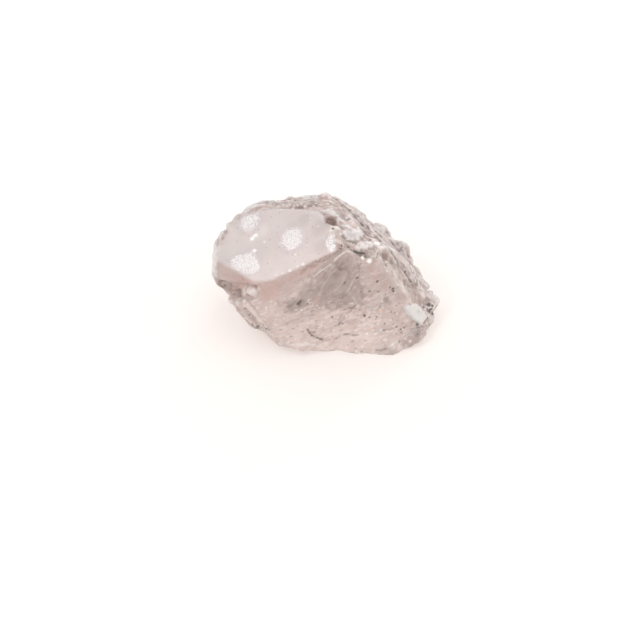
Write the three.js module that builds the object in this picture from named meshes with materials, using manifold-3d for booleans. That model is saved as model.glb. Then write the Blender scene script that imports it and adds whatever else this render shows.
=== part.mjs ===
// A rough morganite crystal: one loose stone of 21 carats, built in millimetres with +Z up.
//
// The stone grew as a short beryl crystal and was broken off its rock. It keeps one smooth end face with
// narrow bevels round it. Its front is broad and softly rippled, and its right side is fractured in steps
// or finely striated. A few smaller crystals, lumps and chips are grown into its ends. It rests on a flat
// broken face.
//
// The solid is a block from which a slab is taken away beyond every face. A slab's near side carries that
// face's relief, so each face meets its neighbours at a crisp edge. Then the small crystals are joined on,
// and the hollows and open cracks are cut out.

import * as THREE from 'three';
import { ConvexGeometry } from 'three/addons/geometries/ConvexGeometry.js';
import { ImprovedNoise } from 'three/addons/math/ImprovedNoise.js';
import { mergeVertices } from 'three/addons/utils/BufferGeometryUtils.js';
import Module from 'manifold-3d';

const wasm = await Module();
wasm.setup();

const { degToRad, smoothstep } = THREE.MathUtils;
const perlin = new ImprovedNoise();

// ---- driving dimensions, in millimetres and degrees ----

const HEART = new THREE.Vector3(0, 0, 6.4); // the point inside the stone that faces are measured from
const BLOCK = new THREE.Vector3(21.6, 15.6, 13.6); // the block that the faces are cut from
const SLAB = { width: 27, thickness: 12 };

// ---- relief: how far a face stands proud of its plane, at s along it and t across it ----

/** Adds reliefs up. */
const layered = (...layers) => (s, t) => layers.reduce((sum, layer) => sum + layer(s, t), 0);

/** Rolling relief with a wavelength along and across the face. */
const ripple = (height, along, across, seed) => (s, t) =>
  height * perlin.noise(s / along, t / across, seed);

/** Rolling relief with finer ripples on it. */
const rough = (height, size, seed) => {
  const octave = (share) => ripple(height * share, size * share, size * share, seed + 9 * share);
  return layered(octave(1), octave(0.5), octave(0.25));
};

/** Fracture steps: rolling relief that is broken into nearly level terraces. */
const terraces = (height, along, across, levels, seed) => (s, t) => {
  const wave = levels * perlin.noise(s / along, t / across, seed);
  const level = Math.round(wave);
  return (height / levels) * (level + 0.3 * (wave - level));
};

/** A swelling round (s0, t0), or a hollow if its height is negative. */
const swell = (s0, t0, radiusS, radiusT, height) => (s, t) =>
  height * Math.exp(-(((s - s0) / radiusS) ** 2) - ((t - t0) / radiusT) ** 2);

/** A relief whose own directions are turned on the face. */
const turned = (angle, relief) => (s, t) => {
  const [c, d] = [Math.cos(degToRad(angle)), Math.sin(degToRad(angle))];
  return relief(s * c + t * d, t * c - s * d);
};

/** A relief that sets in past a line, which lies at a reach from the face's middle in one direction. */
const past = (direction, reach, width, relief) => (s, t) => {
  const a = degToRad(direction);
  return smoothstep(s * Math.cos(a) + t * Math.sin(a), reach, reach + width) * relief(s, t);
};

// ---- faces: the direction each one looks in, its distance from the heart, and its relief ----
// Grain is the size of the relief's cells along and across a face. Turn swings them round its normal.

const FACES = {
  base: { azimuth: 0, elevation: -90, distance: 6.4 },

  // the smooth end face and the bevels round it, from the left by the front to the right
  end_face: { azimuth: 206, elevation: 60, distance: 4.75 },
  left_rim: { azimuth: 184, elevation: 22, distance: 8.98 },
  left_bevel: { azimuth: 218, elevation: 20, distance: 7.95 },
  corner_bevel: { azimuth: 241, elevation: 18, distance: 7.47 },
  front_bevel: { azimuth: 253, elevation: 34, distance: 6.59 },
  right_edge: { azimuth: 271, elevation: 78, distance: 5.6 },
  right_bevel: { azimuth: 237, elevation: 86, distance: 5.11 },

  // the broad front, smooth below the bevel, with a ledge near its foot and a swell low on the right
  front: {
    azimuth: 282, elevation: 0, distance: 5.8, grain: [0.6, 0.5],
    relief: layered(
      past(-55.5, -3.7, 1.8, turned(28, layered(ripple(0.36, 3.6, 1.9, 1.7), ripple(0.16, 2.6, 1, 4.2)))),
      swell(4.4, -7.2, 3.2, 2.6, 2.3), swell(-2.8, -5.4, 2.6, 0.5, 0.3), swell(2, 2.6, 2.4, 1.2, -0.2),
    ),
  },
  shoulder: {
    azimuth: 306, elevation: 11, distance: 6.9, grain: [0.6, 0.6],
    relief: layered(rough(0.22, 2, 5.1), swell(2, -7.4, 2.2, 2.2, 0.75)),
  },
  foot: { azimuth: 262, elevation: -47, distance: 8.67, grain: [0.6, 0.6], relief: rough(0.2, 1.8, 3.1) },
  right_foot: {
    azimuth: 312, elevation: -31, distance: 11, grain: [0.6, 0.6],
    relief: rough(0.2, 1.8, 8.4),
  },
  lower_left: {
    azimuth: 216, elevation: -28, distance: 8.72, grain: [0.6, 0.6],
    relief: rough(0.3, 1.8, 2.5),
  },

  // the fractured slope right of the end face, stepped along its outer edge
  fracture: {
    azimuth: 10, elevation: 66, distance: 4.46, turn: 49, grain: [0.45, 0.32],
    relief: past(-125, -3, 0.5, layered(
      terraces(0.55, 2.4, 0.75, 3, 2.6), ripple(0.25, 1.2, 1.2, 5.5), swell(0.2, 2.3, 0.9, 0.6, -0.6),
      swell(-1.9, 2, 0.9, 0.6, 0.4), swell(-3.2, 2.8, 0.8, 0.4, 0.25),
    )),
  },
  right_slope: {
    azimuth: 332, elevation: 21, distance: 6.85, turn: -64, grain: [0.5, 0.36],
    relief: layered(terraces(0.4, 3, 0.9, 2, 9.1), ripple(0.25, 1.6, 1.2, 6.5)),
  },
  striated: {
    azimuth: 30, elevation: 36, distance: 4.3, turn: 38, grain: [0.9, 0.32],
    relief: layered(ripple(0.4, 6, 0.7, 3.3), ripple(0.35, 2.4, 1.6, 7.7)),
  },
  crest_right: { azimuth: 44, elevation: 46, distance: 4.35 },
  right_end: { azimuth: 357, elevation: 10, distance: 8, grain: [0.5, 0.5], relief: rough(0.6, 1.5, 11.2) },

  // the clear rim and the ridged crest behind the end face
  left: {
    azimuth: 181, elevation: 1, distance: 9.98, grain: [0.6, 0.6],
    relief: ripple(0.3, 1.2, 1.2, 4.7),
  },
  upper_left: {
    azimuth: 174, elevation: 39, distance: 7.57, grain: [0.5, 0.4],
    relief: past(-121.6, 3.9, 0.4, ripple(0.4, 1.6, 0.8, 2.9)),
  },
  top_left: {
    azimuth: 149, elevation: 63, distance: 5.41, grain: [0.5, 0.4],
    relief: past(-159.6, 0.35, 0.4, ripple(0.4, 1.6, 0.8, 6.9)),
  },
  top_back: {
    azimuth: 102, elevation: 63, distance: 4.36, grain: [0.55, 0.36],
    relief: past(-130.8, -2.15, 0.4, layered(terraces(0.4, 2.4, 0.7, 2, 4.4), ripple(0.2, 1.2, 1.2, 1.3))),
  },
  top_crest: {
    azimuth: 84, elevation: 64, distance: 4.3, grain: [0.55, 0.36],
    relief: layered(terraces(0.4, 2.4, 0.7, 2, 5.4), ripple(0.2, 1.2, 1.2, 2.3)),
  },

  // the back and the undercut sides
  back: {
    azimuth: 92, elevation: 4, distance: 5.7, turn: 12, grain: [0.9, 0.45],
    relief: layered(ripple(0.5, 9, 0.9, 1.1), rough(0.35, 2.2, 6.2)),
  },
  back_right: {
    azimuth: 60, elevation: -6, distance: 6.15, grain: [0.7, 0.7],
    relief: rough(0.7, 2.6, 9.9),
  },
  back_left: {
    azimuth: 130, elevation: 8, distance: 7.3, turn: 8, grain: [0.9, 0.45],
    relief: layered(ripple(0.4, 8, 0.8, 2.2), rough(0.4, 2, 1.8)),
  },
  under_left: {
    azimuth: 172, elevation: -28, distance: 9.2, grain: [0.7, 0.7],
    relief: rough(0.6, 2, 12.1),
  },
  under_back: {
    azimuth: 96, elevation: -42, distance: 7.3, grain: [0.7, 0.7],
    relief: rough(0.7, 2.2, 13.4),
  },
};

// ---- small crystals, lumps and chips grown into the faces ----
// Each has its place along and across a face, its middle's rise above that face's surface, its radii along,
// across and out of the face, and its turn on the face. The seed picks its chance shape.

const LUMPS = [
  // the peak and the ledges on the crest, in line with the end face's far edge
  { on: 'top_crest', at: [0.1, -1], rise: -0.15, radii: [0.9, 0.55, 0.45], turn: -10, seed: 1 },
  { on: 'top_back', at: [1.8, -0.75], rise: -0.1, radii: [1.6, 0.35, 0.35], turn: -41, seed: 2 },
  { on: 'top_back', at: [4.7, -2.2], rise: -0.15, radii: [1.4, 0.4, 0.35], turn: -41, seed: 3 },
  { on: 'upper_left', at: [-1.3, -3.85], rise: -0.2, radii: [1.1, 0.45, 0.4], turn: -32, seed: 4 },

  // the glassy lump and the ledge on the fracture
  { on: 'fracture', at: [-1.9, 1.9], rise: -0.25, radii: [1, 0.65, 0.55], turn: 10, seed: 5 },
  { on: 'fracture', at: [-3.4, 2.2], rise: -0.1, radii: [0.9, 0.4, 0.4], turn: 60, seed: 6 },

  // the bumps behind the ridge of the striated side
  { on: 'striated', at: [-2.2, -2.6], rise: 0, radii: [1, 0.9, 1], turn: 0, seed: 7 },
  { on: 'striated', at: [-3.2, -2.2], rise: -0.3, radii: [1.2, 1.3, 0.8], turn: 10, seed: 8 },
  { on: 'striated', at: [-4.4, -2.9], rise: 0, radii: [1.2, 1, 1.1], turn: -10, seed: 9 },
  { on: 'striated', at: [-5.4, -2.6], rise: -0.15, radii: [1, 0.9, 0.75], turn: 0, seed: 10 },

  // the cluster and the clear lobe at the right end
  { on: 'right_end', at: [-1, -6.2], rise: -0.2, radii: [1, 1.2, 1], turn: 0, seed: 11 },
  { on: 'right_end', at: [-0.8, -6], rise: 0.4, radii: [0.6, 0.6, 0.65], turn: 30, seed: 12 },
  { on: 'right_end', at: [-2.1, -6.9], rise: 0.1, radii: [0.65, 0.6, 0.6], turn: 60, seed: 13 },
  { on: 'shoulder', at: [3.8, -7], rise: -0.4, radii: [1.3, 1.1, 1.25], turn: 20, seed: 14 },
  { on: 'front', at: [6, -5.4], rise: -0.3, radii: [0.9, 0.6, 0.5], turn: 0, seed: 15 },

  // the grey lump and the clear bump under the left bevel, and the bead on top of the small crystal
  { on: 'left_bevel', at: [-1.6, -4.6], rise: -0.3, radii: [0.6, 0.9, 0.75], turn: -20, seed: 16 },
  { on: 'left_bevel', at: [-0.05, -3.1], rise: -0.6, radii: [0.9, 0.6, 0.6], turn: 24, seed: 17 },
  { on: 'lower_left', at: [-0.3, 2.7], rise: 0.1, radii: [0.4, 0.4, 0.4], turn: 0, seed: 18 },
];

// the white chip: a plate with this outline along and across the right slope
const CHIP = {
  outline: [[-0.88, -4.9], [0.45, -5.71], [1.6, -7.9], [0.26, -7.94], [-0.57, -6.4]],
  proud: 0.3,
  deep: 0.5,
};

// the small six-sided crystal grown into the lower left, by the middles of its ends on that face
const SIDE_CRYSTAL = { top: [-0.35, 2.8], bottom: [0.45, -0.4], rise: 0.15, radius: 0.62, point: 0.3 };

// ---- hollows ----

// the recess under the left bevel, by places along and across that bevel
const RECESS = {
  top: [[-4.2, -4.3], [0.6, -2.1]],
  bottom: [[-2.6, -6.3], [0.6, -4.2]],
  depth: 0.9,
  reach: 2,
};

const PITS = [
  // the hollows on the fracture, the notch at the right end and the one under the small crystal
  { on: 'fracture', at: [0.2, 2.4], rise: 0.1, radii: [0.7, 0.45, 0.5], turn: 0, seed: 21 },
  { on: 'fracture', at: [-3.75, 3.8], rise: 0.05, radii: [0.6, 0.3, 0.4], turn: 20, seed: 22 },
  { on: 'fracture', at: [-2.5, 4.4], rise: 0.05, radii: [0.45, 0.2, 0.35], turn: 0, seed: 23 },
  { on: 'right_end', at: [1.8, -6.9], rise: 0.3, radii: [2.8, 0.32, 1.1], turn: 140, seed: 24 },
  { on: 'lower_left', at: [0.5, -2.7], rise: 0.1, radii: [1.4, 0.9, 1.3], turn: 0, seed: 30 },

  // open cracks on the front
  { on: 'front', at: [-2.45, -4.5], rise: 0.05, radii: [0.75, 0.12, 0.45], turn: -25, seed: 25 },
  { on: 'front', at: [1, -5], rise: 0.05, radii: [0.65, 0.1, 0.4], turn: -8, seed: 26 },
  { on: 'front', at: [2.5, -3.8], rise: 0.05, radii: [0.6, 0.1, 0.4], turn: 12, seed: 27 },
  { on: 'front', at: [0.2, -3.5], rise: 0.05, radii: [0.35, 0.12, 0.3], turn: 20, seed: 28 },
  { on: 'front', at: [-3.3, -0.5], rise: 0.05, radii: [0.25, 0.3, 0.3], turn: 0, seed: 29 },
];

const CORNERS = 20; // of a lump or pit, before the ones that fall inside are lost
const UNEVENNESS = 0.3; // how far those corners reach in or out, as a share of the radius

// ---- tools that cut and join ----

/** A closed three.js geometry as a solid that can be cut and joined. */
function solidOf(geometry) {
  const bare = new THREE.BufferGeometry();
  bare.setAttribute('position', geometry.attributes.position);
  bare.setIndex(geometry.index);
  const { attributes, index } = mergeVertices(bare, 1e-4);
  const mesh = { numProp: 3, vertProperties: attributes.position.array, triVerts: index.array };
  return new wasm.Manifold(new wasm.Mesh(mesh));
}

/** A solid as a three.js geometry again. */
function geometryOf(solid) {
  const mesh = solid.getMesh();
  const geometry = new THREE.BufferGeometry();
  geometry.setAttribute('position', new THREE.BufferAttribute(new Float32Array(mesh.vertProperties), 3));
  geometry.setIndex(new THREE.BufferAttribute(new Uint32Array(mesh.triVerts), 1));
  return geometry;
}

/** A face's axes, from its point nearest the heart: s along it, t across it and its outward normal. */
function frameOf({ azimuth, elevation, distance, turn = 0 }) {
  const [a, e] = [degToRad(azimuth), degToRad(elevation)];
  const normal = new THREE.Vector3(Math.cos(e) * Math.cos(a), Math.cos(e) * Math.sin(a), Math.sin(e));
  const along = new THREE.Vector3(-Math.sin(a), Math.cos(a), 0).applyAxisAngle(normal, degToRad(turn));
  const across = new THREE.Vector3().crossVectors(normal, along);
  const nearest = HEART.clone().addScaledVector(normal, distance);
  return new THREE.Matrix4().makeBasis(along, across, normal).setPosition(nearest);
}

/** A point above a face's surface, in that face's own axes. */
function above(face, [s, t], rise) {
  const surface = face.relief ? face.relief(s, t) : 0;
  return new THREE.Vector3(s, t, surface + rise);
}

/** The slab that lies beyond a face. Its near side is a grid of cells, raised by the face's relief. */
function slabBeyond(face) {
  const { width, thickness } = SLAB;
  const [columns, rows] = face.relief ? face.grain.map((cell) => Math.round(width / cell)) : [1, 1];
  const slab = new THREE.BoxGeometry(width, width, thickness, columns, rows, 1);
  slab.translate(0, 0, thickness / 2);
  const position = slab.attributes.position;
  for (let i = 0; face.relief && i < position.count; i++) {
    if (position.getZ(i) === 0) position.setZ(i, face.relief(position.getX(i), position.getY(i)));
  }
  return solidOf(slab.applyMatrix4(frameOf(face)));
}

/** A lump or pit: the convex body through corners spread round an ellipsoid, each a little in or out. */
function lump({ on, at, rise, radii, turn, seed }) {
  const golden = Math.PI * (3 - Math.sqrt(5));
  const corners = Array.from({ length: CORNERS }, (_, i) => {
    const up = 1 - (2 * i + 1) / CORNERS;
    const flat = Math.sqrt(1 - up * up);
    const angle = i * golden + seed;
    const reach = 1 + UNEVENNESS * perlin.noise(3.7 * i + 0.5, seed + 0.5, 0.5);
    return new THREE.Vector3(flat * Math.cos(angle), flat * Math.sin(angle), up).multiplyScalar(reach);
  });
  const body = new ConvexGeometry(corners).scale(...radii).rotateZ(degToRad(turn));
  body.translate(...above(FACES[on], at, rise));
  return solidOf(body.applyMatrix4(frameOf(FACES[on])));
}

/** The chip: a plate set into the right slope and standing a little proud of it. */
function chip({ outline, proud, deep }) {
  const corners = [-deep, proud].flatMap((h) => outline.map(([s, t]) => new THREE.Vector3(s, t, h)));
  return solidOf(new ConvexGeometry(corners).applyMatrix4(frameOf({ ...FACES.right_slope, turn: 0 })));
}

/** A six-sided crystal between the middles of its two ends, each closed by a blunt point. */
function sideCrystal({ top, bottom, rise, radius, point }) {
  const [foot, head] = [bottom, top].map((end) => above(FACES.lower_left, end, rise));
  const length = foot.distanceTo(head);
  const tip = radius * 0.6;
  const profile = [[0, 0], [tip, 0], [radius, point], [radius, length - point], [tip, length], [0, length]];
  const prism = new THREE.LatheGeometry(profile.map(([r, h]) => new THREE.Vector2(r, h)), 6);
  const axis = head.clone().sub(foot).normalize();
  prism.applyQuaternion(new THREE.Quaternion().setFromUnitVectors(new THREE.Vector3(0, 1, 0), axis));
  prism.translate(...foot);
  return solidOf(prism.applyMatrix4(frameOf(FACES.lower_left)));
}

/** The recess under the left bevel: a wedge, deepest below the bevel's lower edge. */
function recess({ top, bottom, depth, reach }) {
  const at = (height) => ([s, t]) => new THREE.Vector3(s, t, height);
  const outside = [...top, ...bottom].map(at(reach));
  const inside = [...top.map(at(-depth)), ...bottom.map(at(0))];
  return solidOf(new ConvexGeometry([...outside, ...inside]).applyMatrix4(frameOf(FACES.left_bevel)));
}

// ---- the stone ----

function crystalSolid() {
  let stone = solidOf(new THREE.BoxGeometry(...BLOCK).translate(...HEART));
  for (const face of Object.values(FACES)) stone = stone.subtract(slabBeyond(face));
  stone = stone.subtract(recess(RECESS));
  for (const growth of LUMPS) stone = stone.add(lump(growth));
  stone = stone.add(sideCrystal(SIDE_CRYSTAL)).add(chip(CHIP));
  for (const pit of PITS) stone = stone.subtract(lump(pit));
  return stone.subtract(slabBeyond(FACES.base)); // so that no growth reaches below the resting face
}

/** The geometry moved so that the origin is on the resting face, under the middle of the stone's box. */
function standing(geometry) {
  geometry.computeBoundingBox();
  const middle = geometry.boundingBox.getCenter(new THREE.Vector3());
  return geometry.translate(-middle.x, -middle.y, -geometry.boundingBox.min.z);
}

const crystal = new THREE.Mesh(
  standing(geometryOf(crystalSolid())),
  new THREE.MeshStandardMaterial({ color: 0xdcc6bf, roughness: 0.25, metalness: 0 }),
);
crystal.name = 'morganite_crystal';

const specimen = new THREE.Group();
specimen.add(crystal);

export default specimen;
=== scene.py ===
# %% [markdown]
# # A rough morganite crystal
#
# Morganite is pink beryl. This stone is a 21 carat piece of rough, about 20 mm long, as it came out of
# its rock. It has one smooth end face with narrow bevels, a broad cloudy front, a stepped and splintered
# broken side, and a few small crystals grown into its ends. The imported solid has all of these forms with
# flat facets. Here the stone gets its fine relief, its cloudy pink colour, its specks and its frosted
# patches, and painted glints, highlights and shade.
#
# The stone is one grown piece, so it stays one mesh. The imported solid is copied, gets an even skin, and
# is then worked with modifiers, grabs and relief. What is particular to this stone is marked on the skin
# one by one.

import math

import bpy
import numpy as np
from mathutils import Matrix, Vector, kdtree, noise
from mathutils.bvhtree import BVHTree


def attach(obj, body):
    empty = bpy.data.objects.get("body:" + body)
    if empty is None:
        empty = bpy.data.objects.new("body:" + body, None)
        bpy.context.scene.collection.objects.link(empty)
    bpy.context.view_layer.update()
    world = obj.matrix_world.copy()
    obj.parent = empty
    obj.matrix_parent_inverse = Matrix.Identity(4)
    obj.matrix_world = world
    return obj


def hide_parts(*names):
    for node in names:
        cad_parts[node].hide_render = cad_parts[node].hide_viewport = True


MM = 0.001

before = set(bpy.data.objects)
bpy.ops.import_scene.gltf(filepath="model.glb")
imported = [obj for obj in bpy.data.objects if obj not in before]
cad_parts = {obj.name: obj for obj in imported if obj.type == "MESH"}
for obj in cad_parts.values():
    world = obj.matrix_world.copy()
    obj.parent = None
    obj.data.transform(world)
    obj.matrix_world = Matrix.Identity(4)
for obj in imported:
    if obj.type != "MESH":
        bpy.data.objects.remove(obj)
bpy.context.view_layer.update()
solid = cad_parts["morganite_crystal"]

# %% [markdown]
# ## The camera
#
# The stone is seen from the front and from 40 degrees above. A long lens from far off keeps the small
# stone nearly free of perspective, as a macro picture of a gem is. The camera comes first, because the
# places of the stone's marks are later read through it.

# %% Camera
HEART = np.array((0.03, 0.366, 6.4))  # the point inside the stone that its faces are measured from, in mm
LOOK_DOWN = math.radians(40)
AIM = Vector(HEART + (-0.508, -3.511, -4.88)) * MM
DISTANCE = 0.4  # in m, from the aim to the camera
VIEW_WIDTH = 0.05639  # in m, of the picture's frame at the stone
SENSOR = 36  # in mm
PICTURE = 640  # pixels along each side of the picture
CLIP = 0.01  # in m, nearer than this the camera sees nothing

to_camera = Vector((0, -math.cos(LOOK_DOWN), math.sin(LOOK_DOWN)))
eye = AIM + to_camera * DISTANCE
bpy.ops.object.camera_add(location=eye)
camera = bpy.context.object
camera.rotation_euler = to_camera.to_track_quat("Z", "Y").to_euler()
camera.data.sensor_width = SENSOR
camera.data.lens = SENSOR * DISTANCE / VIEW_WIDTH
camera.data.clip_start = CLIP
bpy.context.scene.camera = camera
print("lens, mm:", round(camera.data.lens))

# %% [markdown]
# ## A fine skin for the stone
#
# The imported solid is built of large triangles, too coarse for the ripples and splinters of a real break.
# They could be subdivided, but that keeps their uneven sizes. A voxel remesh gives the stone an even skin
# with a vertex every tenth of a millimetre, which modifiers can then move. It is made on a copy, because
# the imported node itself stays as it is. The copy's loose triangles are merged first, so that the remesh
# sees one closed solid.

# %% Copy, merge and remesh
SKIN = 0.11  # mm between vertices
SAME_PLACE = 0.001  # vertices nearer than this, in mm, are one


def only(piece):
    """Selects this piece alone and makes it the active one."""
    bpy.ops.object.select_all(action="DESELECT")
    piece.select_set(True)
    bpy.context.view_layer.objects.active = piece


def apply(piece, kind, **settings):
    """Puts a modifier on the piece and applies it at once."""
    only(piece)
    modifier = piece.modifiers.new(kind.title(), kind)
    for name, value in settings.items():
        setattr(modifier, name, value)
    bpy.ops.object.modifier_apply(modifier=modifier.name)


stone = bpy.data.objects.new("rough_crystal", solid.data.copy())
bpy.context.scene.collection.objects.link(stone)
stone.data.materials.clear()
only(stone)
bpy.ops.object.mode_set(mode="EDIT")
bpy.ops.mesh.select_all(action="SELECT")
bpy.ops.mesh.remove_doubles(threshold=SAME_PLACE * MM)
bpy.ops.object.mode_set(mode="OBJECT")
apply(stone, "REMESH", mode="VOXEL", voxel_size=SKIN * MM, adaptivity=0)
print("skin:", len(stone.data.vertices), "vertices")

# %% [markdown]
# ## Which face is which
#
# Each face of the stone broke or grew in its own way, so each gets its own finish. A face is known by the
# direction that it looks in and its distance from the stone's heart. A point of the skin belongs to the
# face that it reaches furthest out to.

# %% Faces of the stone
FACES = {  # azimuth and elevation in degrees, distance in millimetres
    "base": (0, -90, 6.4),
    "end_face": (206, 60, 4.75),
    "left_rim": (184, 22, 8.98),
    "left_bevel": (218, 20, 7.95),
    "corner_bevel": (241, 18, 7.47),
    "front_bevel": (253, 34, 6.59),
    "right_edge": (271, 78, 5.6),
    "right_bevel": (237, 86, 5.11),
    "front": (282, 0, 5.8),
    "shoulder": (306, 11, 6.9),
    "foot": (262, -47, 8.67),
    "right_foot": (312, -31, 11),
    "lower_left": (216, -28, 8.72),
    "fracture": (10, 66, 4.46),
    "right_slope": (332, 21, 6.85),
    "striated": (30, 36, 4.3),
    "crest_right": (44, 46, 4.35),
    "right_end": (357, 10, 8),
    "left": (181, 1, 9.98),
    "upper_left": (174, 39, 7.57),
    "top_left": (149, 63, 5.41),
    "top_back": (102, 63, 4.36),
    "top_crest": (84, 64, 4.3),
    "back": (92, 4, 5.7),
    "back_right": (60, -6, 6.15),
    "back_left": (130, 8, 7.3),
    "under_left": (172, -28, 9.2),
    "under_back": (96, -42, 7.3),
}

BEVELS = ("left_rim", "left_bevel", "corner_bevel", "front_bevel", "right_edge", "right_bevel")
BROAD = ("front", "shoulder", "foot", "right_foot", "lower_left")
STEPPED = ("fracture", "crest_right")
STRIATED = ("striated", "right_slope", "right_end", "back_right")
CREST = ("top_crest", "top_back", "top_left", "upper_left")
HIND = ("back", "back_left", "left", "under_left", "under_back")
print(len(FACES), "faces")


# %% Weigh each vertex by its face

def outward(face):
    """The direction that a face looks in."""
    azimuth, elevation = (math.radians(angle) for angle in FACES[face][:2])
    level = math.cos(elevation)
    return np.array((level * math.cos(azimuth), level * math.sin(azimuth), math.sin(elevation)))


def read(piece, what):
    """Three numbers for each vertex: its place, co, or its normal."""
    flat = np.empty(len(piece.data.vertices) * 3)
    piece.data.vertices.foreach_get(what, flat)
    return flat.reshape(-1, 3)


def step(low, high, values):
    """Goes smoothly from 0 at low to 1 at high."""
    share = np.clip((values - low) / (high - low), 0, 1)
    return share * share * (3 - 2 * share)


skin = read(stone, "co") / MM
beyond = {face: (skin - HEART) @ outward(face) - FACES[face][2] for face in FACES}


def on(*faces, fade=0.12, inset=0):
    """How much each vertex belongs to these faces, from 0 to 1, fading at their edges or inside them."""
    mine = np.max([beyond[face] for face in faces], axis=0)
    others = np.max([beyond[face] for face in FACES if face not in faces], axis=0)
    return step(inset - fade, inset + fade, mine - others)


def at_edge(first, second, width):
    """1 at the edge between two faces, falling to 0 at this distance from it."""
    a, b = beyond[first], beyond[second]
    others = np.max([beyond[face] for face in FACES if face not in (first, second)], axis=0)
    return step(width, 0, np.abs(a - b)) * step(-0.1, 0.1, np.minimum(a, b) - others + width)


# %% [markdown]
# ## Places on the skin
#
# Everything that is particular to this stone is placed one by one. A place is read in the picture's
# frame, and a ray from the camera finds the skin there. An image could be projected on the stone instead,
# but it would smear over the sides. What is placed here is kept as a number for each vertex, and so it
# stays on the stone from every side.

# %% Find places
PIXEL = VIEW_WIDTH / MM / PICTURE  # millimetres across one pixel of the picture
TURN = camera.rotation_euler.to_matrix()
TO_RIGHT, TO_TOP, TO_CAMERA = (TURN @ Vector(way) for way in ((1, 0, 0), (0, 1, 0), (0, 0, 1)))


def look(piece):
    """The piece's vertices in millimetres, and a tree that finds where a ray meets the piece."""
    return read(piece, "co") / MM, BVHTree.FromObject(piece, bpy.context.evaluated_depsgraph_get())


def skin_at(x, y):
    """The place on the skin, in millimetres, that shows at this pixel of the picture."""
    across, up = x - PICTURE / 2, PICTURE / 2 - y
    target = AIM + (TO_RIGHT * across + TO_TOP * up) * PIXEL * MM
    found = tree.ray_cast(eye, (target - eye).normalized())[0]
    if found is None:
        found = tree.find_nearest(target)[0]
    return np.array(found) / MM


def drawn_out(along, stretch):
    """The skin's places, squeezed along one direction, so that a pattern on them is drawn out there."""
    along = np.array(along) / np.linalg.norm(along)
    return skin - np.outer(skin @ along, along) * (1 - 1 / stretch)


def ragged(size, along=(0, 0, 1), stretch=1, seed=0):
    """Noise over the skin, about -1 to 1, with this grain size."""
    places = drawn_out(along, stretch) / size + (seed, 2.3 * seed, 0)
    return np.array([noise.fractal(place, 0.8, 2.1, 3) for place in places])


def patch(corners, soft=0.8, deep=1.5):
    """A patch with straight sides between corners in the picture, clockwise, within a depth in mm."""
    away = skin - np.array(AIM) / MM
    near = 1 / (PIXEL * (1 - away @ np.array(TO_CAMERA) * MM / DISTANCE))
    across = PICTURE / 2 + away @ np.array(TO_RIGHT) * near
    down = PICTURE / 2 - away @ np.array(TO_TOP) * near
    inside = np.full(len(skin), np.inf)
    for (x0, y0), (x1, y1) in zip(corners, corners[1:] + corners[:1]):
        side = ((x1 - x0) * (down - y0) - (y1 - y0) * (across - x0)) / math.hypot(x1 - x0, y1 - y0)
        inside = np.minimum(inside, side)
    middle = skin_at(*np.mean(corners, axis=0))
    nearness = step(deep, 0.7 * deep, np.abs((skin - middle) @ np.array(TO_CAMERA)))
    return step(-soft, soft, inside + soft * grain) * nearness


skin, tree = look(stone)
grain = ragged(0.3, seed=3)
print("one pixel is", round(PIXEL, 3), "mm on the stone")

# %% [markdown]
# ## Smooth where the break is smooth
#
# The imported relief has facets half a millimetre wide. On the broad faces and the back a real break rolls
# without them, so a Smooth modifier irons them out there. A vertex group holds how much each vertex is
# smoothed. The flat faces keep crisp edges, and so do the small crystals grown into the lower left. The
# corner below the end face is worn round.

# %% Iron out the facets
GROWTHS = [(214, 281), (262, 285), (262, 300), (277, 332), (250, 334), (222, 308)]


def apply_on(piece, weights, kind, **settings):
    """Applies a modifier to a part of the skin, with one weight for each vertex."""
    chosen = piece.vertex_groups.new(name="chosen")
    for index in np.flatnonzero(weights > 0.01):
        chosen.add([int(index)], float(weights[index]), "REPLACE")
    apply(piece, kind, vertex_group="chosen", **settings)
    piece.vertex_groups.clear()


growths = patch(GROWTHS, deep=3)
flat = np.max([on(face, fade=0.3) for face in ("base", "end_face", *BEVELS)], axis=0)
broken = on(*STEPPED, *STRIATED, *CREST)
worn = np.max([
    at_edge("left_bevel", "corner_bevel", 0.9),
    at_edge("corner_bevel", "front", 0.9),
    0.6 * at_edge("corner_bevel", "front_bevel", 0.5),
    0.5 * at_edge("end_face", "corner_bevel", 0.25),
    0.5 * at_edge("end_face", "left_bevel", 0.25),
    0.7 * at_edge("end_face", "right_edge", 0.4),
    0.7 * at_edge("end_face", "right_bevel", 0.4),
    0.8 * at_edge("front", "shoulder", 0.8),
], axis=0)
apply_on(stone, (1 - 0.6 * flat) * (1 - 0.6 * growths), "SMOOTH", factor=0.5, iterations=2)
apply_on(stone, (1 - flat) * (1 - broken) * (1 - growths), "SMOOTH", factor=0.5, iterations=12)
apply_on(stone, worn * (1 - growths), "SMOOTH", factor=0.5, iterations=25)
apply_on(stone, on("end_face", fade=0.2, inset=0.4), "SMOOTH", factor=0.5, iterations=20)
print(f"flat: {flat.mean():.0%} of the skin, broken: {broken.mean():.0%}")

# %% [markdown]
# ## Grab the outline into shape
#
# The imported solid's outline is made of straight facets. Small grabs, as with a sculptor's grab brush,
# pull the skin to the stone's real outline. They raise the crest, sink the notches between the lobes and
# bring the clear bump below the left bevel forward. No grab is longer than half a millimetre, so the
# stone keeps its size, and a light Smooth afterwards takes the spikes off.

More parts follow.
